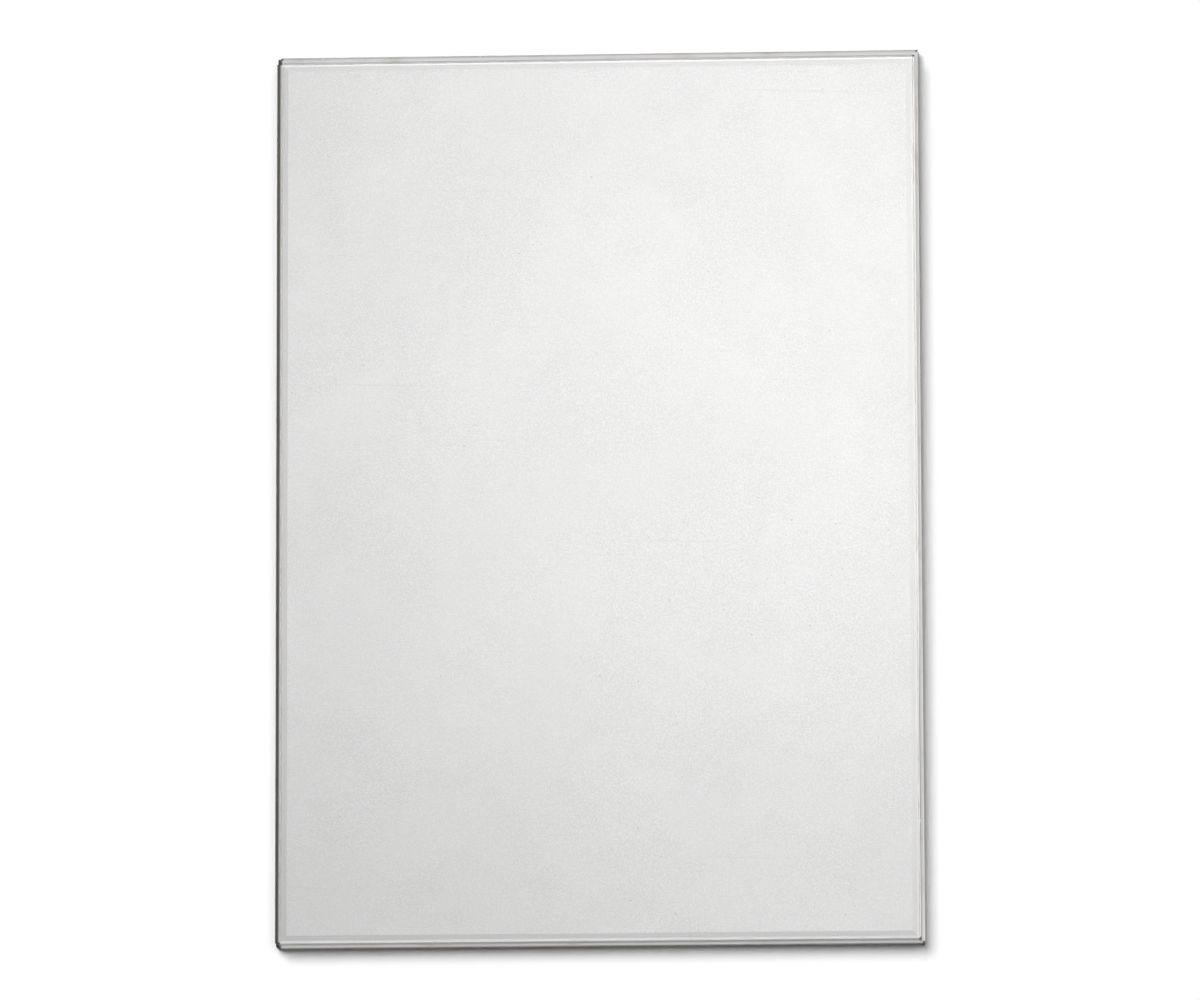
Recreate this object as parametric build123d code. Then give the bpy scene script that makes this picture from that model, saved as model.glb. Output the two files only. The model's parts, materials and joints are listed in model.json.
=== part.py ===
from build123d import *
import os

# Glass negative carrier in book form: two metal-bound glass leaves, one on the other, joined along
# one long side by a cloth spine tape. The film lies between the two glasses. All sizes are in
# millimetres. +X points from the hinged side to the free side, +Y to the head and +Z up. The
# origin is the middle of the closed carrier's base.

# Closed carrier
overall_width = 127.0       # spine tape included
overall_length = 177.8
head_setback = 1.52         # the upper leaf stands back this far at the head, as a thumb step
free_setback = 0.6          # on the free side, for a nail
foot_setback = 0.5          # and at the foot
film_gap = 0.18             # between the two glasses, for one sheet of film

# Glass plate
glass_thickness = 2.5
glass_proud = 0.04          # it stands this far past its rails on the film side
margin_width = 1.0          # ground margin that slopes down towards the edge
margin_drop = 0.3
arris = 0.3                 # 45 degree ground edge outside the margin

# Rail: an L section with its ledge in the glass's rebate, mitred at the corners
wall = 0.3
bevel = 0.2                 # 45 degree bevel along the outer edge
seam_break = 0.12           # 45 degree broken edge at the seam between the leaves
ledge_thickness = 0.4
ledge_reach = 1.95          # from the rail's outer face to the ledge's tip

# Bedding between rail and glass
bed_width = 0.1             # beside the glass
bed_thickness = 0.1         # on the ledge
bed_recess = 0.02           # its top lies this far below the glass's arris
tip_clearance = 0.1         # between the ledge's tip and the rebate

# Spacer strips on the lower rails
spacer_inset = 0.1          # from the upper leaf's outer face

# Spine tape
tape_thickness = 0.55
tape_end_inset = 0.3        # it stops this far short of the leaves' corners
tape_edge_inset = 0.05      # and this far short of the rails' bevels

# What follows from the sizes above
leaf_thickness = glass_thickness - glass_proud
spacer_thickness = film_gap + 2 * glass_proud
spacer_width = ledge_reach - max(head_setback, free_setback, foot_setback) - spacer_inset
seam_low = leaf_thickness
seam_high = seam_low + spacer_thickness
overall_height = seam_high + leaf_thickness
hinge_level = (seam_low + seam_high) / 2


class Leaf:
    """One leaf's outline in plan, and the heights of what is built outwards from its film face."""

    def __init__(self, name, x_low, x_high, y_low, y_high, film_level, outward):
        self.name = name
        self.centre_x = (x_low + x_high) / 2
        self.centre_y = (y_low + y_high) / 2
        self.width = x_high - x_low
        self.length = y_high - y_low
        self.film_level = film_level
        self.outward = outward

    def level(self, height):
        return self.film_level + self.outward * height

    def section(self, points):
        return [(across, self.level(height)) for across, height in points]


def upright_prism(points, length):
    """A section drawn in X and Z, extruded along Y to both sides of the origin."""
    face = make_face(Plane.XZ * Polyline(*points, close=True))
    return extrude(face, amount=length / 2, both=True)


def mitred_bar(side, points, centre, width, length):
    """A bar along one side of a rectangle. Its section gives the distance inwards and the height."""
    turn, offset, run = {
        "hinge": (0, (-width / 2, 0), length),
        "free": (180, (width / 2, 0), length),
        "head": (-90, (0, length / 2), width),
        "foot": (90, (0, -length / 2), width),
    }[side]
    reach = max(inward for inward, _ in points)
    low = min(height for _, height in points)
    high = max(height for _, height in points)
    plan = make_face(
        Polyline(
            (0, -run / 2),
            (reach, -run / 2 + reach),
            (reach, run / 2 - reach),
            (0, run / 2),
            close=True,
        )
    )
    mitres = Location((0, 0, low)) * extrude(plan, amount=high - low)
    bar = upright_prism(points, run) & mitres
    place = Location((centre[0] + offset[0], centre[1] + offset[1], 0), (0, 0, turn))
    return place * bar


def glass_plate(leaf):
    """A plate with its margin, arris and film-side rebate, where two crossing extrusions meet."""
    rebate_width = ledge_reach + tip_clearance - wall - bed_width
    rebate_level = ledge_thickness + bed_thickness
    edge_level = leaf_thickness - margin_drop

    def half_section(half):
        return [
            (half - rebate_width, -glass_proud),
            (half - rebate_width, rebate_level),
            (half, rebate_level),
            (half, edge_level - arris),
            (half - arris, edge_level),
            (half - arris - margin_width, leaf_thickness),
        ]

    def section(span):
        right = half_section(span / 2 - wall - bed_width)
        left = [(-across, height) for across, height in reversed(right)]
        return leaf.section(right + left)

    along_y = upright_prism(section(leaf.width), leaf.length)
    along_x = Rotation(0, 0, 90) * upright_prism(section(leaf.length), leaf.width)
    return Location((leaf.centre_x, leaf.centre_y, 0)) * (along_y & along_x)


def rail(leaf, side):
    points = [
        (0, seam_break),
        (0, leaf_thickness - bevel),
        (bevel, leaf_thickness),
        (wall, leaf_thickness),
        (wall, ledge_thickness),
        (ledge_reach, ledge_thickness),
        (ledge_reach, 0),
        (seam_break, 0),
    ]
    centre = (leaf.centre_x, leaf.centre_y)
    return mitred_bar(side, leaf.section(points), centre, leaf.width, leaf.length)


def bedding(leaf, side):
    top = leaf_thickness - margin_drop - arris - bed_recess
    glass_side = wall + bed_width
    ledge_top = ledge_thickness + bed_thickness
    points = [
        (wall, ledge_thickness),
        (wall, top),
        (glass_side, top),
        (glass_side, ledge_top),
        (ledge_reach, ledge_top),
        (ledge_reach, ledge_thickness),
    ]
    centre = (leaf.centre_x, leaf.centre_y)
    return mitred_bar(side, leaf.section(points), centre, leaf.width, leaf.length)


def spacer(leaf, side):
    """A shim strip under the given upper leaf, held in from its outer faces."""
    points = [(0, seam_low), (0, seam_high), (spacer_width, seam_high), (spacer_width, seam_low)]
    centre = (leaf.centre_x, leaf.centre_y)
    inset = 2 * spacer_inset
    return mitred_bar(side, points, centre, leaf.width - inset, leaf.length - inset)


def tape_half(leaf, low, high):
    """The half of the spine tape on this leaf's hinge face, between two heights."""
    middle = (-overall_width / 2 + tape_thickness / 2, leaf.centre_y, (low + high) / 2)
    return Location(middle) * Box(tape_thickness, leaf.length - 2 * tape_end_inset, high - low)


hinge_face = -overall_width / 2 + tape_thickness
free_face = overall_width / 2
end_face = overall_length / 2
lower_leaf = Leaf("lower", hinge_face, free_face, -end_face, end_face, seam_low, -1)
upper_leaf = Leaf(
    "upper",
    hinge_face,
    free_face - free_setback,
    -end_face + foot_setback,
    end_face - head_setback,
    seam_high,
    1,
)

sides = ["hinge", "free", "head", "foot"]
nodes = {}
for leaf in (lower_leaf, upper_leaf):
    nodes[f"{leaf.name}_glass"] = glass_plate(leaf)
    for side in sides:
        nodes[f"{leaf.name}_rail_{side}"] = rail(leaf, side)
        nodes[f"{leaf.name}_bedding_{side}"] = bedding(leaf, side)
for side in sides:
    nodes[f"spacer_{side}"] = spacer(upper_leaf, side)
tape_reach = bevel + tape_edge_inset
nodes["spine_tape_lower"] = tape_half(lower_leaf, tape_reach, hinge_level)
nodes["spine_tape_upper"] = tape_half(upper_leaf, hinge_level, overall_height - tape_reach)

os.makedirs("parts", exist_ok=True)
for name, solid in nodes.items():
    export_step(solid, f"parts/{name}.step")
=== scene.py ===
"""Finishes for a book-form glass negative carrier.

Frosted and clear glass, drawn metal rims, bedding, spacers and a cloth spine tape, with a small studio.
"""

import json
import math

import bpy
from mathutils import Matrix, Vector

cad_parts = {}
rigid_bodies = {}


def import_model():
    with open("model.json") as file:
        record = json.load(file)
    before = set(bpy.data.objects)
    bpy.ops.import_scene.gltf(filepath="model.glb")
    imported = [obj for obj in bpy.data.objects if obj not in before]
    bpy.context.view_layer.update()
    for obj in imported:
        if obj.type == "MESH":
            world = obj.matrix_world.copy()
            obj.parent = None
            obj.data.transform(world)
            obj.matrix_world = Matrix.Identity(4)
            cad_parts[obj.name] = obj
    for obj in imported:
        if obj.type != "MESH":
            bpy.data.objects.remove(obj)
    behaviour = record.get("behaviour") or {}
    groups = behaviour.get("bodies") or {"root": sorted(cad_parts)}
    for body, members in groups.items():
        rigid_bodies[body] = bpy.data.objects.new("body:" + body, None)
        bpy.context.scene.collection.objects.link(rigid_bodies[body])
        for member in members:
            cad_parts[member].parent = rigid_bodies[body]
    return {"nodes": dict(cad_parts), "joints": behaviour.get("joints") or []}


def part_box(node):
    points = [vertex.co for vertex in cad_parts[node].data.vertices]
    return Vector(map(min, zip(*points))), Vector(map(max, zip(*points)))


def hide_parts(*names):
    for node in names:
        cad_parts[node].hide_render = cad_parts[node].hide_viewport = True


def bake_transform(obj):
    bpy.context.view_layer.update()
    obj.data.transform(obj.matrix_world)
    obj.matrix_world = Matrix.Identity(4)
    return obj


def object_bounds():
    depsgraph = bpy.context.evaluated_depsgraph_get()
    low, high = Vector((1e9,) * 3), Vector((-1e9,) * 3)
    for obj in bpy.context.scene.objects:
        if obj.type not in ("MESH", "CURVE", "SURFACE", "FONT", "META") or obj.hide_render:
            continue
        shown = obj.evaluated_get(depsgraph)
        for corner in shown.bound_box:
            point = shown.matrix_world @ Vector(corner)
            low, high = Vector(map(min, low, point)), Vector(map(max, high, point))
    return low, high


bl_info = {
    "name": "Glass Negative Carrier",
    "version": (1, 0, 0),
    "blender": (4, 5, 0),
    "location": "View3D > Sidebar > Carrier",
    "description": "Glass, rim, bedding and spine tape finishes for a glass negative carrier",
    "category": "Object",
}

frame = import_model()
CAD_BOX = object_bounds()
MM = 0.001
SIDES = ("hinge", "free", "head", "foot")
LEAVES = ("lower", "upper")
ALONG_Y = ("hinge", "free")

GLASS_IOR = 1.5
SPECK_DIRT = (0.3, 0.29, 0.28)
GROOVE_SHADE_FULL = -45.0 * MM         # towards the foot from here the painted shade on the free rim is at its deepest
GROOVE_SHADE_GONE = -22.0 * MM         # and here it has faded out

TAPE_LEVELS = 14                # bands of faces up the tape
TAPE_STRIPS = 60                # and along it
PICK_REACH = 0.1 * MM           # how near a corner must lie to be picked

FLOOR_SIZE = 3.0
KEY_SIZE = 0.2
SUN_SPREAD = 30.0               # in degrees: it softens the shadows
KEY_STAND = (47.0, 75.0, 0.31)  # azimuth and elevation in degrees, and distance in metres
SLANT_STAND = (-40.8, 58.7, 1.0)
FILL_STAND = (49.6, 74.0, 1.0)
CARD_REACH = 0.35               # from the carrier's edge to the standing card
CARD_HEIGHT = 0.6
CARD_CLEARANCE = 0.002          # between the carrier's edge and the laid card
CARD_LIFT = 0.0004              # from one laid card up to the next
CAMERA_REACH = 20.0

MIX_FIRST, MIX_SECOND, MIX_RESULT = 6, 7, 2     # the mix node's colour sockets


def colour_prop(name, description, default):
    return bpy.props.FloatVectorProperty(
        name=name, description=description, default=default, size=3, min=0.0, max=1.0, subtype="COLOR"
    )


def length_prop(name, description, default):
    return bpy.props.FloatProperty(
        name=name, description=description, default=default, min=0.0, unit="LENGTH", precision=5
    )


def share_prop(name, description, default):
    return bpy.props.FloatProperty(
        name=name, description=description, default=default, min=0.0, max=1.0, subtype="FACTOR"
    )


def number_prop(name, description, default):
    return bpy.props.FloatProperty(name=name, description=description, default=default)


class GlassSettings(bpy.types.PropertyGroup):
    frosted: colour_prop("Frosted", "Colour of the etched upper glass", (0.87, 0.87, 0.865))
    frosted_roughness: share_prop("Frosted roughness", "Roughness of the etched face", 0.5)
    frosted_clear: share_prop("See-through", "Share of light that the etched glass passes", 0.18)
    clear: colour_prop("Clear", "Colour of the polished lower glass", (0.9, 0.93, 0.915))
    clear_through: share_prop("Clearness", "Share of light that the polished glass passes", 0.4)
    ground_edge: colour_prop("Ground edge", "Colour of the ground edges", (1.0, 1.0, 0.995))
    # Painted glow: the ground edges give off light of their own, though they are no lamp.
    painted_edge_glow: share_prop("Edge glow", "How much light leaves the glass by its ground edges", 0.3)
    margin: colour_prop("Margin", "Colour of the ground margin round the edge", (0.87, 0.87, 0.865))
    margin_width: length_prop("Margin width", "Width of the ground margin", 1.0 * MM)
    arris: length_prop("Arris", "Width of the ground edge outside the margin", 0.3 * MM)
    grain: length_prop("Grain", "Size of the etched grain", 0.32 * MM)


class RailSettings(bpy.types.PropertyGroup):
    metal: colour_prop("Metal", "Colour of the drawn metal", (0.88, 0.872, 0.862))
    roughness: share_prop("Roughness", "Roughness of the drawn metal", 0.34)
    grain: length_prop("Grain", "Distance between drawing lines", 0.06 * MM)
    # Painted shade: the next colour darkens the rims towards their outer edges over the widths below. It
    # also makes the near-black corners and the free rim's dark bevel near the foot.
    painted_shade_colour: colour_prop("Oxide", "Colour of the painted_edge_shade", (0.3, 0.28, 0.265))
    hinge_painted_edge_shade: length_prop("Hinge painted_edge_shade", "Width of the painted_edge_shade along the hinge side", 0.5 * MM)
    free_painted_edge_shade: length_prop("Free painted_edge_shade", "Width of the painted_edge_shade along the free side", 0.22 * MM)
    head_painted_edge_shade: length_prop("Head painted_edge_shade", "Width of the painted_edge_shade along the head", 0.62 * MM)
    foot_painted_edge_shade: length_prop("Foot painted_edge_shade", "Width of the painted_edge_shade along the foot", 0.25 * MM)
    # Painted shade: a shaded groove beside the free rim, painted darkest towards the foot.
    groove_shade: share_prop("Stain", "Depth of the stain on the free rim's bevel towards the foot", 0.95)


class FillSettings(bpy.types.PropertyGroup):
    bedding: colour_prop("Bedding", "Colour of the bedding compound", (0.52, 0.512, 0.5))
    spacer: colour_prop("Spacer", "Colour of the shim strips", (0.86, 0.86, 0.85))


class TapeSettings(bpy.types.PropertyGroup):
    cloth: colour_prop("Cloth", "Colour of the spine tape", (0.125, 0.114, 0.104))
    thread: length_prop("Thread pitch", "Distance between threads", 0.32 * MM)
    rounding: length_prop("Edge rounding", "Radius of the tape's edges", 0.08 * MM)


class StudioSettings(bpy.types.PropertyGroup):
    camera_place: bpy.props.FloatVectorProperty(
        name="Camera place",
        description="Where the camera stands",
        default=(0.0929, -0.27629, 1.7509),
        size=3,
    )
    camera_turn: bpy.props.FloatVectorProperty(
        name="Camera turn",
        description="How the camera is turned, in degrees",
        default=(8.936, 3.0588, -0.1658),
        size=3,
    )
    lens: number_prop("Lens", "Focal length in millimetres", 270.0)
    floor: colour_prop("Floor", "Colour of the floor", (0.9, 0.9, 0.9))
    floor_white: number_prop("Floor white", "How white the floor shows to the camera", 1.25)
    key_power: number_prop("Key", "Power of the lamp over the carrier, in watts", 1.175)
    slant_strength: number_prop("Slant light", "Strength of the light that throws the long shadow", 2.1)
    fill_strength: number_prop("Fill light", "Strength of the light that throws the short shadow", 0.62)
    room_strength: number_prop("Room", "Strength of the room's light", 0.072)
    hinge_card: number_prop("Hinge card", "Brightness of the card beside the hinge side", 0.2)
    free_card: number_prop("Free card", "Brightness of the card beside the free side", 1.85)
    head_card: number_prop("Head card", "Brightness of the card beyond the head", 0.55)
    foot_card: number_prop("Foot card", "Brightness of the card beyond the foot", 0.24)


def node_tree(owner):
    """An empty shader tree and a function that adds a node to it."""
    tree = owner.node_tree
    tree.nodes.clear()

    def add(kind, **values):
        node = tree.nodes.new(kind)
        for key, value in values.items():
            setattr(node, key, value)
        return node

    return tree, add


def new_material(name):
    material = bpy.data.materials.new(name)
    material.use_nodes = True
    tree, add = node_tree(material)
    shader = add("ShaderNodeBsdfPrincipled")
    output = add("ShaderNodeOutputMaterial")
    tree.links.new(shader.outputs["BSDF"], output.inputs["Surface"])
    return material, tree, add, shader


def dress(names, material):
    """Puts a material in the slots of these CAD nodes."""
    for name in names:
        slots = frame["nodes"][name].material_slots
        for slot in slots:
            slot.material = material


def new_group(name, inputs, outputs):
    """A shader node group with named sockets."""
    group = bpy.data.node_groups.new(name, "ShaderNodeTree")
    for socket, kind, default in inputs:
        made = group.interface.new_socket(socket, in_out="INPUT", socket_type=kind)
        if default is not None:
            made.default_value = default
    for socket, kind in outputs:
        group.interface.new_socket(socket, in_out="OUTPUT", socket_type=kind)
    source = group.nodes.new("NodeGroupInput")
    sink = group.nodes.new("NodeGroupOutput")
    return group, source, sink


def math_node(tree, operation, first, second=None, clamp=False):
    node = tree.nodes.new("ShaderNodeMath")
    node.operation = operation
    node.use_clamp = clamp
    for index, value in enumerate((first, second)):
        if value is None:
            continue
        if isinstance(value, (int, float)):
            node.inputs[index].default_value = value
        else:
            tree.links.new(value, node.inputs[index])
    return node.outputs[0]


def ramp(tree, value, low, high, to_low=0.0, to_high=1.0):
    node = tree.nodes.new("ShaderNodeMapRange")
    node.interpolation_type = "SMOOTHSTEP"
    tree.links.new(value, node.inputs["Value"])
    for socket, number in (
        ("From Min", low),
        ("From Max", high),
        ("To Min", to_low),
        ("To Max", to_high),
    ):
        node.inputs[socket].default_value = number
    return node.outputs["Result"]


def mix(tree, share, first, second):
    """A colour mix. Each colour is a socket or three numbers, and share is a socket or a number."""
    node = tree.nodes.new("ShaderNodeMix")
    node.data_type = "RGBA"
    for index, value in ((0, share), (MIX_FIRST, first), (MIX_SECOND, second)):
        socket = node.inputs[index]
        if isinstance(value, bpy.types.NodeSocket):
            tree.links.new(value, socket)
        elif isinstance(value, (int, float)):
            socket.default_value = value
        else:
            socket.default_value = (*value, 1.0)
    return node.outputs[MIX_RESULT]


def noise(tree, vector, scale, detail=2.0, roughness=0.5):
    node = tree.nodes.new("ShaderNodeTexNoise")
    tree.links.new(vector, node.inputs["Vector"])
    node.inputs["Scale"].default_value = scale
    node.inputs["Detail"].default_value = detail
    node.inputs["Roughness"].default_value = roughness
    return node.outputs["Fac"]


def stretched(tree, vector, scale, turn=0.0):
    node = tree.nodes.new("ShaderNodeMapping")
    tree.links.new(vector, node.inputs["Vector"])
    node.inputs["Scale"].default_value = scale
    node.inputs["Rotation"].default_value = (0.0, 0.0, turn)
    return node.outputs["Vector"]


def specks_group():
    """Scattered round specks: a mask that is 1 on a speck."""
    group, source, sink = new_group(
        "specks",
        (
            ("Vector", "NodeSocketVector", None),
            ("Spacing", "NodeSocketFloat", 0.004),
            ("Size", "NodeSocketFloat", 0.0001),
        ),
        (("Mask", "NodeSocketFloat"),),
    )
    cells = group.nodes.new("ShaderNodeTexVoronoi")
    cells.voronoi_dimensions = "2D"
    group.links.new(source.outputs["Vector"], cells.inputs["Vector"])
    group.links.new(math_node(group, "DIVIDE", 1.0, source.outputs["Spacing"]), cells.inputs["Scale"])
    reach = math_node(group, "DIVIDE", source.outputs["Size"], source.outputs["Spacing"])
    split = group.nodes.new("ShaderNodeSeparateColor")
    group.links.new(cells.outputs["Color"], split.inputs["Color"])
    own_size = math_node(group, "MULTIPLY", reach, split.outputs["Red"])
    near = math_node(group, "SUBTRACT", own_size, cells.outputs["Distance"])
    softness = math_node(group, "DIVIDE", near, math_node(group, "MULTIPLY", own_size, 0.5))
    group.links.new(math_node(group, "ADD", softness, 0.0, clamp=True), sink.inputs["Mask"])
    return group


def scratches_group():
    """Broken hairlines along one direction: a mask that is 1 on a scratch."""
    group, source, sink = new_group(
        "scratches",
        (
            ("Vector", "NodeSocketVector", None),
            ("Angle", "NodeSocketFloat", 0.0),
            ("Rarity", "NodeSocketFloat", 0.8),
        ),
        (("Mask", "NodeSocketFloat"),),
    )
    turned = group.nodes.new("ShaderNodeVectorRotate")
    turned.rotation_type = "Z_AXIS"
    group.links.new(source.outputs["Vector"], turned.inputs["Vector"])
    group.links.new(source.outputs["Angle"], turned.inputs["Angle"])
    drawn = stretched(group, turned.outputs["Vector"], (14.0, 1500.0, 1.0))
    lines = noise(group, drawn, 1.0, 1.0)
    patches = noise(group, turned.outputs["Vector"], 38.0, 1.0)
    over = math_node(group, "SUBTRACT", lines, source.outputs["Rarity"])
    sharp = math_node(group, "MULTIPLY", over, 26.0, clamp=True)
    where = ramp(group, patches, 0.52, 0.62)
    group.links.new(math_node(group, "MULTIPLY", sharp, where), sink.inputs["Mask"])
    return group


def rim_distance_group():
    """How far a point lies inside a plate's outline: from its edge, from a corner and from an end."""
    group, source, sink = new_group(
        "rim_distance",
        (
            ("Vector", "NodeSocketVector", None),
            ("Centre X", "NodeSocketFloat", 0.0),
            ("Centre Y", "NodeSocketFloat", 0.0),
            ("Half width", "NodeSocketFloat", 0.06),
            ("Half length", "NodeSocketFloat", 0.09),
        ),
        (
            ("Distance", "NodeSocketFloat"),
            ("Corner distance", "NodeSocketFloat"),
            ("End distance", "NodeSocketFloat"),
        ),
    )
    parts = group.nodes.new("ShaderNodeSeparateXYZ")
    group.links.new(source.outputs["Vector"], parts.inputs["Vector"])
    gaps = []
    for axis, centre, half in (("X", "Centre X", "Half width"), ("Y", "Centre Y", "Half length")):
        off = math_node(group, "SUBTRACT", parts.outputs[axis], source.outputs[centre])
        gaps.append(math_node(group, "SUBTRACT", source.outputs[half], math_node(group, "ABSOLUTE", off)))
    group.links.new(math_node(group, "MINIMUM", gaps[0], gaps[1]), sink.inputs["Distance"])
    group.links.new(math_node(group, "MAXIMUM", gaps[0], gaps[1]), sink.inputs["Corner distance"])
    group.links.new(gaps[1], sink.inputs["End distance"])
    return group


def shared_group(name, maker):
    return bpy.data.node_groups.get(name) or maker()


def place_group(tree, name, maker, vector, **values):
    node = tree.nodes.new("ShaderNodeGroup")
    node.node_tree = shared_group(name, maker)
    tree.links.new(vector, node.inputs["Vector"])
    for key, value in values.items():
        node.inputs[key.replace("_", " ")].default_value = value
    return node.outputs[0]


def object_coordinates(tree):
    return tree.nodes.new("ShaderNodeTexCoord").outputs["Object"]


def rim_distance(tree, vector, *names):
    """How far inside these nodes' outline a point lies: from its edge, from a corner and from an end."""
    boxes = [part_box(name) for name in names]
    low_x, low_y = (min(low[axis] for low, _ in boxes) for axis in (0, 1))
    high_x, high_y = (max(high[axis] for _, high in boxes) for axis in (0, 1))
    node = tree.nodes.new("ShaderNodeGroup")
    node.node_tree = shared_group("rim_distance", rim_distance_group)
    tree.links.new(vector, node.inputs["Vector"])
    for socket, value in (
        ("Centre X", (low_x + high_x) / 2),
        ("Centre Y", (low_y + high_y) / 2),
        ("Half width", (high_x - low_x) / 2),
        ("Half length", (high_y - low_y) / 2),
    ):
        node.inputs[socket].default_value = value
    return tuple(node.outputs)


def bump(tree, shader, height, distance, strength=1.0):
    node = tree.nodes.new("ShaderNodeBump")
    node.inputs["Strength"].default_value = strength
    node.inputs["Distance"].default_value = distance
    tree.links.new(height, node.inputs["Height"])
    tree.links.new(node.outputs["Normal"], shader.inputs["Normal"])


def tinted(colour, factor):
    return tuple(min(1.0, channel * factor) for channel in colour)


def frosted_glass(settings):
    material, tree, _, shader = new_material("frosted_glass")
    place = object_coordinates(tree)
    inside, _, from_end = rim_distance(tree, place, "upper_glass")
    glass = settings.frosted
    clouds = noise(tree, place, 30.0, 3.0, 0.55)
    colour = mix(tree, ramp(tree, clouds, 0.3, 0.7), tinted(glass, 0.975), tinted(glass, 1.02))
    grain = noise(tree, place, 1.0 / settings.grain, 1.0, 0.6)
    patches = noise(tree, place, 55.0, 3.0, 0.6)
    coarse = math_node(
        tree, "MULTIPLY",
        ramp(tree, grain, 0.3, 0.7),
        ramp(tree, patches, 0.4, 0.62, 0.34, 0.6),
    )
    colour = mix(tree, coarse, colour, tinted(glass, 0.8))
    colour = mix(tree, ramp(tree, grain, 0.5, 0.25, 0.0, 0.26), colour, tinted(glass, 1.15))
    mottle = noise(tree, place, 420.0, 3.0, 0.6)
    colour = mix(tree, ramp(tree, mottle, 0.52, 0.8, 0.0, 0.14), colour, (0.86, 0.83, 0.78))
    settled = ramp(tree, noise(tree, place, 26.0, 2.0), 0.42, 0.6, 0.08, 0.5)
    for spacing, size, turn in ((0.0042, 0.00016, 0.0), (0.0083, 0.00023, 0.7)):
        spot = place_group(tree, "specks", specks_group, stretched(tree, place, (1.0, 1.0, 1.0), turn),
                           Spacing=spacing, Size=size)
        colour = mix(tree, math_node(tree, "MULTIPLY", spot, settled), colour, SPECK_DIRT)
    lint = place_group(tree, "specks", specks_group, stretched(tree, place, (1.0, 0.35, 1.0), 2.1),
                       Spacing=0.011, Size=0.00018)
    colour = mix(tree, math_node(tree, "MULTIPLY", lint, 0.6), colour, (1.0, 1.0, 1.0))
    lines = place_group(tree, "scratches", scratches_group, place, Angle=0.03, Rarity=0.7)
    cross = place_group(tree, "scratches", scratches_group, place, Angle=1.5, Rarity=0.74)
    scratch = math_node(tree, "MAXIMUM", lines, cross)
    colour = mix(tree, math_node(tree, "MULTIPLY", scratch, 0.18), colour, (0.62, 0.61, 0.6))
    edge, slope = settings.arris, settings.arris + settings.margin_width
    on_margin = ramp(tree, inside, slope * 0.9, slope * 1.05, 1.0, 0.0)
    colour = mix(tree, math_node(tree, "MULTIPLY", on_margin, 0.6), colour, settings.margin)
    on_edge = ramp(tree, inside, edge * 0.9, edge * 1.15, 1.0, 0.0)
    colour = mix(tree, on_edge, colour, settings.ground_edge)
    tree.links.new(colour, shader.inputs["Base Color"])
    # Painted glow: the ground edges emit the ground-edge colour, fully along the head and foot and at 0.3
    # along the sides.
    on_end = ramp(tree, from_end, edge * 0.9, edge * 1.15, 1.0, 0.3)
    glow = math_node(tree, "MULTIPLY", on_edge, on_end)
    tree.links.new(mix(tree, glow, (0.0, 0.0, 0.0), settings.ground_edge), shader.inputs["Emission Color"])
    shader.inputs["Emission Strength"].default_value = settings.painted_edge_glow
    dullness = settings.frosted_roughness
    rough = ramp(tree, grain, 0.2, 0.8, dullness - 0.06, dullness + 0.08)
    tree.links.new(rough, shader.inputs["Roughness"])
    shader.inputs["Transmission Weight"].default_value = settings.frosted_clear
    shader.inputs["IOR"].default_value = GLASS_IOR
    height = math_node(tree, "SUBTRACT", grain, scratch)
    bump(tree, shader, height, 0.02 * MM, 0.3)
    return material


def clear_glass(settings):
    material, tree, _, shader = new_material("clear_glass")
    place = object_coordinates(tree)
    inside, _, _ = rim_distance(tree, place, "lower_glass")
    on_edge = ramp(tree, inside, settings.arris, settings.arris * 1.4, 1.0, 0.0)
    smears = noise(tree, place, 60.0, 3.0, 0.6)
    tree.links.new(mix(tree, on_edge, settings.clear, settings.ground_edge), shader.inputs["Base Color"])
    rough = math_node(
        tree, "ADD",
        ramp(tree, smears, 0.45, 0.8, 0.015, 0.08),
        math_node(tree, "MULTIPLY", on_edge, 0.5),
    )
    tree.links.new(rough, shader.inputs["Roughness"])
    shader.inputs["Transmission Weight"].default_value = settings.clear_through
    shader.inputs["IOR"].default_value = GLASS_IOR
    lines = place_group(tree, "scratches", scratches_group, place, Angle=0.4, Rarity=0.74)
    bump(tree, shader, math_node(tree, "MULTIPLY", lines, -1.0), 0.01 * MM, 0.4)
    return material


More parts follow.
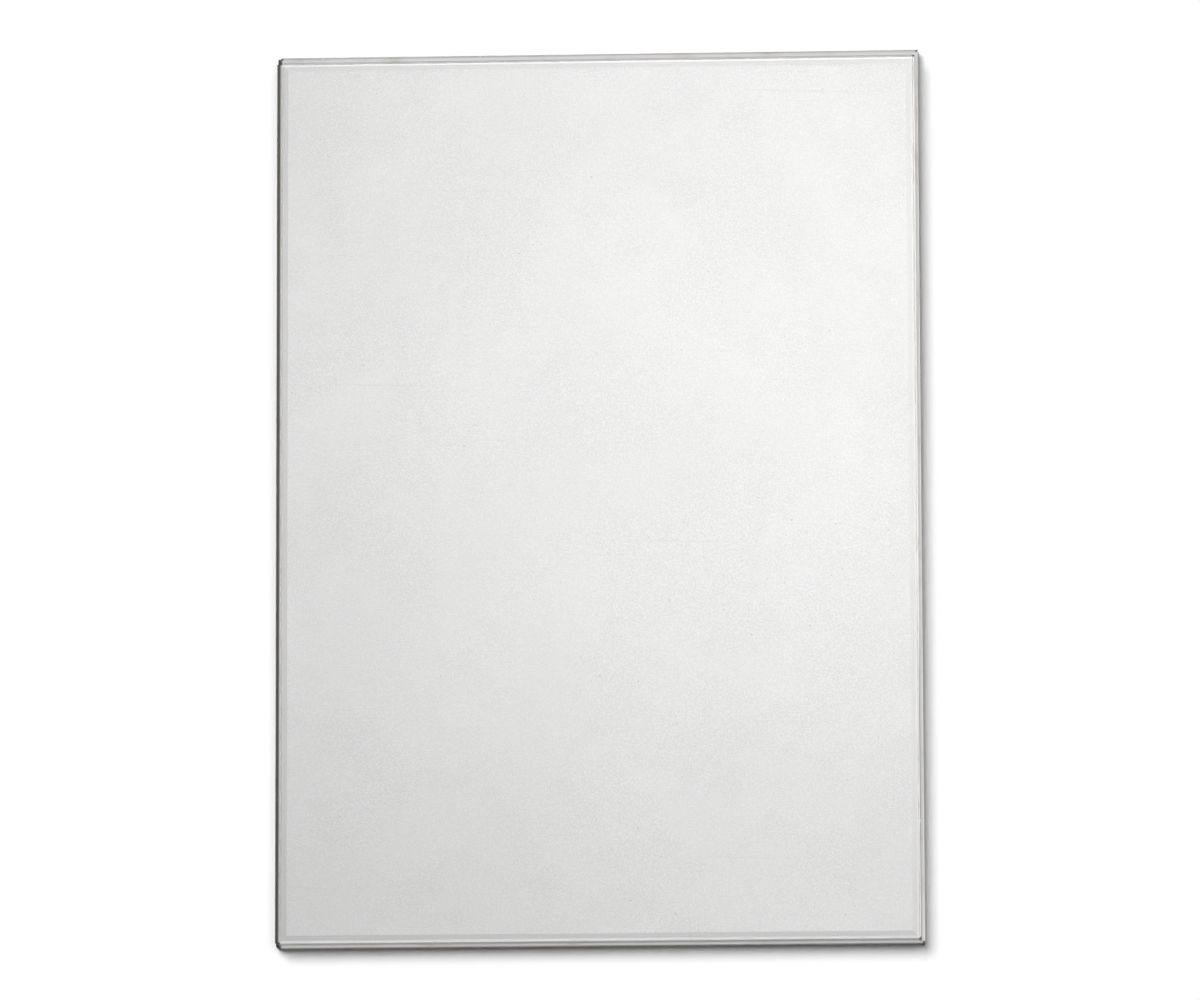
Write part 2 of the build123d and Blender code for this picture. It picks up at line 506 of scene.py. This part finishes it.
def rail_metal(settings, leaf, side):
    """Drawn metal with its grain along the rail, with painted shade darkening it towards the leaf's outer
    edge.
    """
    material, tree, add, shader = new_material(f"{leaf}_rail_{side}")
    place = object_coordinates(tree)
    inside, corner, _ = rim_distance(tree, place, *(f"{leaf}_rail_{each}" for each in SIDES))
    fine = 1.0 / settings.grain
    scale = (fine, 18.0, fine) if side in ALONG_Y else (18.0, fine, fine)
    grain = noise(tree, stretched(tree, place, scale), 1.0, 2.0, 0.6)
    patches = noise(tree, place, 160.0, 3.0, 0.6)
    metal, painted_shade_dark = settings.metal, tinted(settings.painted_shade_colour, 0.25)
    colour = mix(tree, ramp(tree, grain, 0.3, 0.7), tinted(metal, 0.86), tinted(metal, 1.1))
    colour = mix(tree, ramp(tree, patches, 0.5, 0.8, 0.0, 0.35), colour, (0.5, 0.47, 0.44))
    # Painted shade: darker towards the leaf's outer edge, over a width set for each side.
    dull = ramp(tree, inside, 0.0, getattr(settings, f"{side}_painted_edge_shade"), 0.62, 0.0)
    colour = mix(tree, dull, colour, settings.painted_shade_colour)
    # Painted shade: near black within 0.6 mm of each corner of the leaf.
    colour = mix(tree, ramp(tree, corner, 0.3 * MM, 0.6 * MM, 0.9, 0.0), colour, painted_shade_dark)
    off_wall = ramp(tree, inside, 0.005 * MM, 0.03 * MM)
    # Painted shade on the upper free rim's bevel, deepest towards the foot, where a groove lies in shade.
    if (leaf, side) == ("upper", "free"):
        parts = add("ShaderNodeSeparateXYZ")
        tree.links.new(place, parts.inputs["Vector"])
        near_foot = ramp(tree, parts.outputs["Y"], GROOVE_SHADE_FULL, GROOVE_SHADE_GONE, settings.groove_shade, 0.0)
        on_bevel = ramp(tree, inside, 0.05 * MM, 0.2 * MM, 1.0, 0.0)
        groove_shaded = math_node(tree, "MULTIPLY", near_foot, math_node(tree, "MULTIPLY", on_bevel, off_wall))
        colour = mix(tree, groove_shaded, colour, painted_shade_dark)
    nicks = place_group(tree, "specks", specks_group, place, Spacing=0.0045, Size=0.0003)
    nicks = math_node(tree, "MULTIPLY", nicks, off_wall)
    colour = mix(tree, math_node(tree, "MULTIPLY", nicks, 0.5), colour, (0.95, 0.95, 0.94))
    tree.links.new(colour, shader.inputs["Base Color"])
    rough = math_node(
        tree, "ADD",
        ramp(tree, grain, 0.2, 0.8, settings.roughness - 0.05, settings.roughness + 0.08),
        ramp(tree, patches, 0.45, 0.8, 0.0, 0.14),
    )
    tree.links.new(rough, shader.inputs["Roughness"])
    shader.inputs["Metallic"].default_value = 1.0
    height = math_node(tree, "ADD", grain, math_node(tree, "MULTIPLY", nicks, -1.2))
    bump(tree, shader, height, 0.006 * MM, 0.5)
    return material


def bedding_compound(settings):
    material, tree, _, shader = new_material("bedding")
    place = object_coordinates(tree)
    lumps = noise(tree, place, 900.0, 3.0, 0.6)
    dry = tinted(settings.bedding, 1.4)
    colour = mix(tree, ramp(tree, lumps, 0.35, 0.75), settings.bedding, dry)
    tree.links.new(colour, shader.inputs["Base Color"])
    tree.links.new(ramp(tree, lumps, 0.2, 0.8, 0.65, 0.9), shader.inputs["Roughness"])
    bump(tree, shader, lumps, 0.03 * MM, 0.6)
    return material


def spacer_metal(settings):
    material, tree, _, shader = new_material("spacer")
    place = object_coordinates(tree)
    grain = noise(tree, stretched(tree, place, (9000.0, 9000.0, 300.0)), 1.0, 2.0, 0.5)
    dull = tinted(settings.spacer, 0.86)
    colour = mix(tree, ramp(tree, grain, 0.3, 0.7), dull, settings.spacer)
    tree.links.new(colour, shader.inputs["Base Color"])
    tree.links.new(ramp(tree, grain, 0.2, 0.8, 0.2, 0.36), shader.inputs["Roughness"])
    shader.inputs["Metallic"].default_value = 1.0
    bump(tree, shader, grain, 0.004 * MM, 0.5)
    return material


def tape_cloth(settings):
    """Close plain weave that follows the tape's own unwrapped surface, measured in metres."""
    material, tree, add, shader = new_material("tape_cloth")
    unwrapped = tree.nodes.new("ShaderNodeTexCoord").outputs["UV"]
    threads = []
    for direction in ("X", "Y"):
        wave = add("ShaderNodeTexWave", wave_type="BANDS", bands_direction=direction, wave_profile="SIN")
        tree.links.new(unwrapped, wave.inputs["Vector"])
        wave.inputs["Scale"].default_value = math.pi / (10.0 * settings.thread)
        wave.inputs["Distortion"].default_value = 0.6
        wave.inputs["Detail Scale"].default_value = 3.0
        threads.append(wave.outputs["Fac"])
    weave = math_node(tree, "MAXIMUM", threads[0], threads[1])
    fuzz = noise(tree, unwrapped, 5200.0, 3.0, 0.65)
    worn = noise(tree, unwrapped, 240.0, 3.0, 0.6)
    shade = tinted(settings.cloth, 0.45)
    rubbed = tinted(settings.cloth, 1.7)
    colour = mix(tree, ramp(tree, weave, 0.2, 0.9), shade, settings.cloth)
    colour = mix(tree, ramp(tree, worn, 0.5, 0.75, 0.0, 0.6), colour, rubbed)
    tree.links.new(colour, shader.inputs["Base Color"])
    tree.links.new(ramp(tree, fuzz, 0.2, 0.8, 0.8, 0.98), shader.inputs["Roughness"])
    shader.inputs["Sheen Weight"].default_value = 0.15
    height = math_node(tree, "ADD", weave, math_node(tree, "MULTIPLY", fuzz, 0.4))
    bump(tree, shader, height, 0.06 * MM, 0.8)
    return material


def deselect_all():
    if bpy.context.object and bpy.context.object.mode != "OBJECT":
        bpy.ops.object.mode_set(mode="OBJECT")
    bpy.ops.object.select_all(action="DESELECT")


class CARRIER_OT_glass(bpy.types.Operator):
    """Finish the frosted upper glass and the clear lower glass."""

    bl_idname = "carrier.glass"
    bl_label = "Glass"

    def execute(self, context):
        settings = context.scene.carrier_glass
        dress(["upper_glass"], frosted_glass(settings))
        dress(["lower_glass"], clear_glass(settings))
        return {"FINISHED"}


class CARRIER_OT_rails(bpy.types.Operator):
    """Finish the metal rails, with the drawing lines along each rail."""

    bl_idname = "carrier.rails"
    bl_label = "Rails"

    def execute(self, context):
        settings = context.scene.carrier_rails
        for leaf in LEAVES:
            for side in SIDES:
                dress([f"{leaf}_rail_{side}"], rail_metal(settings, leaf, side))
        return {"FINISHED"}


class CARRIER_OT_fill(bpy.types.Operator):
    """Finish the bedding between glass and rail and the spacer strips between the leaves."""

    bl_idname = "carrier.fill"
    bl_label = "Bedding and spacers"

    def execute(self, context):
        settings = context.scene.carrier_fill
        dress([f"{leaf}_bedding_{side}" for leaf in LEAVES for side in SIDES], bedding_compound(settings))
        dress([f"spacer_{side}" for side in SIDES], spacer_metal(settings))
        return {"FINISHED"}


class CARRIER_OT_spine_tape(bpy.types.Operator):
    """Model the cloth tape that joins the two leaves along the hinged side."""

    bl_idname = "carrier.spine_tape"
    bl_label = "Spine tape"

    def execute(self, context):
        settings = context.scene.carrier_tape
        low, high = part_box("spine_tape_lower")
        high.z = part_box("spine_tape_upper")[1].z
        centre, size = (low + high) / 2, high - low
        deselect_all()
        bpy.ops.mesh.primitive_cube_add(size=1.0, location=centre, scale=size)
        tape = context.object
        tape.name = tape.data.name = "spine_tape"
        bpy.ops.object.transform_apply(location=True, rotation=True, scale=True)
        seam = frame["joints"][0]["pos_m"][2]
        bpy.ops.object.mode_set(mode="EDIT")
        for step in range(1, TAPE_LEVELS):
            height = low.z + size.z * step / TAPE_LEVELS
            bpy.ops.mesh.select_all(action="SELECT")
            bpy.ops.mesh.bisect(plane_co=(0.0, 0.0, height), plane_no=(0.0, 0.0, 1.0))
        for step in range(1, TAPE_STRIPS):
            bpy.ops.mesh.select_all(action="SELECT")
            along = low.y + size.y * step / TAPE_STRIPS
            bpy.ops.mesh.bisect(plane_co=(0.0, along, 0.0), plane_no=(0.0, 1.0, 0.0))
        bpy.ops.object.mode_set(mode="OBJECT")
        self.trim_upper_ends(tape, seam)
        rounding = tape.modifiers.new("rounded_edges", "BEVEL")
        rounding.width = settings.rounding
        rounding.segments = 3
        rounding.limit_method = "ANGLE"
        bpy.ops.object.modifier_apply(modifier=rounding.name)
        unwrap_side(tape)
        bpy.ops.object.shade_smooth_by_angle(angle=math.radians(40.0))
        tape.data.materials.append(tape_cloth(settings))
        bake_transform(tape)
        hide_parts("spine_tape_lower", "spine_tape_upper")
        return {"FINISHED"}

    def trim_upper_ends(self, tape, seam):
        """Cuts the upper half back to the upper leaf, which is shorter than the lower one."""
        lower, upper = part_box("spine_tape_lower"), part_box("spine_tape_upper")
        for end in (0, 1):
            deselect_all()
            tape.select_set(True)
            bpy.context.view_layer.objects.active = tape
            for item in (*tape.data.vertices, *tape.data.edges, *tape.data.polygons):
                item.select = False
            for corner in tape.data.vertices:
                at_end = abs(corner.co.y - lower[end].y) < PICK_REACH
                corner.select = corner.co.z > seam + PICK_REACH and at_end
            bpy.ops.object.mode_set(mode="EDIT")
            bpy.ops.transform.translate(value=(0.0, upper[end].y - lower[end].y, 0.0))
            bpy.ops.object.mode_set(mode="OBJECT")


def unwrap_side(obj):
    """Lays the tape's surface flat in metres: its length along one way, its height and depth the other."""
    mesh = obj.data
    layer = mesh.uv_layers.new(name="cloth")
    for loop in mesh.loops:
        corner = mesh.vertices[loop.vertex_index].co
        layer.data[loop.index].uv = (corner.y, corner.z + corner.x)


class CARRIER_OT_studio(bpy.types.Operator):
    """Lay the floor, set the lights and place the camera."""

    bl_idname = "carrier.studio"
    bl_label = "Studio"

    def execute(self, context):
        settings = context.scene.carrier_studio
        floor = self.lay_floor(settings)
        self.set_room(context.scene, settings)
        self.set_lamps(context.scene, settings, floor)
        self.set_cards(settings)
        self.place_camera(context.scene, settings)
        context.scene.view_settings.view_transform = "Standard"
        return {"FINISHED"}

    def lay_floor(self, settings):
        """A matt floor that shows whiter to the camera than the colour it gives to everything else."""
        deselect_all()
        bpy.ops.mesh.primitive_plane_add(size=FLOOR_SIZE)
        floor = bpy.context.object
        floor.name = "floor"
        material = bpy.data.materials.new("floor")
        material.use_nodes = True
        tree, add = node_tree(material)
        seen, lit = add("ShaderNodeBsdfDiffuse"), add("ShaderNodeBsdfDiffuse")
        seen.inputs["Color"].default_value = (*(settings.floor_white,) * 3, 1.0)
        lit.inputs["Color"].default_value = (*settings.floor, 1.0)
        path, either = add("ShaderNodeLightPath"), add("ShaderNodeMixShader")
        output = add("ShaderNodeOutputMaterial")
        tree.links.new(path.outputs["Is Camera Ray"], either.inputs[0])
        tree.links.new(lit.outputs[0], either.inputs[1])
        tree.links.new(seen.outputs[0], either.inputs[2])
        tree.links.new(either.outputs[0], output.inputs["Surface"])
        floor.data.materials.append(material)
        return floor

    def set_room(self, scene, settings):
        """A dim room, which shows white to the camera, in gloss and through glass."""
        world = bpy.data.worlds.new("room")
        scene.world = world
        world.use_nodes = True
        tree, add = node_tree(world)
        room, white = add("ShaderNodeBackground"), add("ShaderNodeBackground")
        room.inputs["Strength"].default_value = settings.room_strength
        white.inputs["Strength"].default_value = 1.0
        path, either = add("ShaderNodeLightPath"), add("ShaderNodeMixShader")
        output = add("ShaderNodeOutputWorld")
        seen = math_node(tree, "MAXIMUM", path.outputs["Is Camera Ray"], path.outputs["Is Glossy Ray"])
        seen = math_node(tree, "MAXIMUM", seen, path.outputs["Is Transmission Ray"])
        unscattered = math_node(tree, "LESS_THAN", path.outputs["Diffuse Depth"], 0.5)
        seen = math_node(tree, "MULTIPLY", seen, unscattered)
        tree.links.new(seen, either.inputs[0])
        tree.links.new(room.outputs[0], either.inputs[1])
        tree.links.new(white.outputs[0], either.inputs[2])
        tree.links.new(either.outputs[0], output.inputs["Surface"])

    def set_lamps(self, scene, settings, floor):
        """The key lights the carrier alone, and the two suns throw its shadows on the floor."""
        key = bpy.data.lights.new("key", "AREA")
        key.shape, key.size, key.energy = "SQUARE", KEY_SIZE, settings.key_power
        key_lamp = bpy.data.objects.new("key", key)
        key_lamp.visible_glossy = False
        suns = []
        for name, strength in (("slant", settings.slant_strength), ("fill", settings.fill_strength)):
            sun = bpy.data.lights.new(name, "SUN")
            sun.angle, sun.energy = math.radians(SUN_SPREAD), strength
            suns.append(bpy.data.objects.new(name, sun))
        for lamp, (azimuth, elevation, distance) in (
            (key_lamp, KEY_STAND),
            (suns[0], SLANT_STAND),
            (suns[1], FILL_STAND),
        ):
            side, up = math.radians(azimuth), math.radians(elevation)
            lamp.location = (
                distance * math.sin(side) * math.cos(up),
                distance * math.cos(side) * math.cos(up),
                distance * math.sin(up),
            )
            lamp.rotation_euler = (-lamp.location).to_track_quat("-Z", "Y").to_euler()
            scene.collection.objects.link(lamp)
        ground = bpy.data.collections.new("ground")
        ground.objects.link(floor)
        carrier = bpy.data.collections.new("carrier")
        for obj in scene.objects:
            if obj.type == "MESH" and obj is not floor:
                carrier.objects.link(obj)
        for lamp in suns:
            lamp.light_linking.receiver_collection = ground
        key_lamp.light_linking.receiver_collection = carrier

    def set_cards(self, settings):
        """One plain card lies and one stands beyond each side, and the rims mirror them."""
        low, high = CAD_BOX
        reach, height = CARD_REACH, CARD_HEIGHT
        upright = math.radians(90.0)
        for index, side in enumerate(SIDES):
            across = {"hinge": (-1, 0), "free": (1, 0), "head": (0, 1), "foot": (0, -1)}[side]
            edge = {"hinge": -low.x, "free": high.x, "head": high.y, "foot": -low.y}[side]
            along_y = side in ALONG_Y
            laid = edge + CARD_CLEARANCE + reach / 2
            stood = edge + reach
            flat_size = (reach, 2 * reach, 1.0) if along_y else (2 * reach, reach, 1.0)
            wall_size = (height, 3 * reach, 1.0) if along_y else (3 * reach, height, 1.0)
            wall_turn = (0.0, upright, 0.0) if along_y else (upright, 0.0, 0.0)
            material = self.card_material(f"{side}_card", getattr(settings, f"{side}_card"))
            for distance, level, size, turn in (
                (laid, (index + 1) * CARD_LIFT, flat_size, (0.0, 0.0, 0.0)),
                (stood, 0.0, wall_size, wall_turn),
            ):
                deselect_all()
                place = (across[0] * distance, across[1] * distance, level)
                bpy.ops.mesh.primitive_plane_add(size=1.0, location=place, rotation=turn)
                card = bpy.context.object
                card.name = f"{side}_card"
                card.scale = size
                card.data.materials.append(material)
                card.visible_camera = card.visible_diffuse = card.visible_shadow = False
                card.visible_transmission = card.visible_volume_scatter = False

    def card_material(self, name, brightness):
        """A card of this brightness that fades to white at its edges."""
        material = bpy.data.materials.new(name)
        material.use_nodes = True
        tree, add = node_tree(material)
        path, glow = add("ShaderNodeLightPath"), add("ShaderNodeEmission")
        output = add("ShaderNodeOutputMaterial")
        place = add("ShaderNodeSeparateXYZ")
        tree.links.new(add("ShaderNodeTexCoord").outputs["Object"], place.inputs["Vector"])
        spans = [math_node(tree, "ABSOLUTE", place.outputs[axis]) for axis in ("X", "Y")]
        faded = ramp(tree, math_node(tree, "MAXIMUM", spans[0], spans[1]), 0.1, 0.5, brightness, 1.0)
        unscattered = math_node(tree, "LESS_THAN", path.outputs["Diffuse Depth"], 0.5)
        tree.links.new(math_node(tree, "MULTIPLY", unscattered, faded), glow.inputs["Strength"])
        tree.links.new(glow.outputs[0], output.inputs["Surface"])
        return material

    def place_camera(self, scene, settings):
        camera = bpy.data.cameras.new("camera")
        camera.lens = settings.lens
        viewer = bpy.data.objects.new("camera", camera)
        viewer.location = settings.camera_place
        viewer.rotation_euler = tuple(math.radians(turn) for turn in settings.camera_turn)
        camera.clip_end = CAMERA_REACH
        scene.collection.objects.link(viewer)
        scene.camera = viewer


class CARRIER_PT_panel(bpy.types.Panel):
    """Lists the carrier's finishes and the studio."""

    bl_label = "Negative carrier"
    bl_idname = "CARRIER_PT_panel"
    bl_space_type = "VIEW_3D"
    bl_region_type = "UI"
    bl_category = "Carrier"

    def draw(self, context):
        for operator in OPERATORS:
            self.layout.operator(operator.bl_idname)
        for name in SETTINGS:
            settings = getattr(context.scene, name)
            box = self.layout.box()
            for key in type(settings).__annotations__:
                box.prop(settings, key)


OPERATORS = (
    CARRIER_OT_glass,
    CARRIER_OT_rails,
    CARRIER_OT_fill,
    CARRIER_OT_spine_tape,
    CARRIER_OT_studio,
)
SETTINGS = {
    "carrier_glass": GlassSettings,
    "carrier_rails": RailSettings,
    "carrier_fill": FillSettings,
    "carrier_tape": TapeSettings,
    "carrier_studio": StudioSettings,
}


def register():
    for group in SETTINGS.values():
        bpy.utils.register_class(group)
    for name, group in SETTINGS.items():
        setattr(bpy.types.Scene, name, bpy.props.PointerProperty(type=group))
    for operator in OPERATORS:
        bpy.utils.register_class(operator)
    bpy.utils.register_class(CARRIER_PT_panel)


def unregister():
    bpy.utils.unregister_class(CARRIER_PT_panel)
    for operator in reversed(OPERATORS):
        bpy.utils.unregister_class(operator)
    for name in SETTINGS:
        delattr(bpy.types.Scene, name)
    for group in SETTINGS.values():
        bpy.utils.unregister_class(group)


def main():
    register()
    bpy.ops.carrier.glass()
    bpy.ops.carrier.rails()
    bpy.ops.carrier.fill()
    bpy.ops.carrier.spine_tape()
    bpy.ops.carrier.studio()


if __name__ == "__main__":
    main()
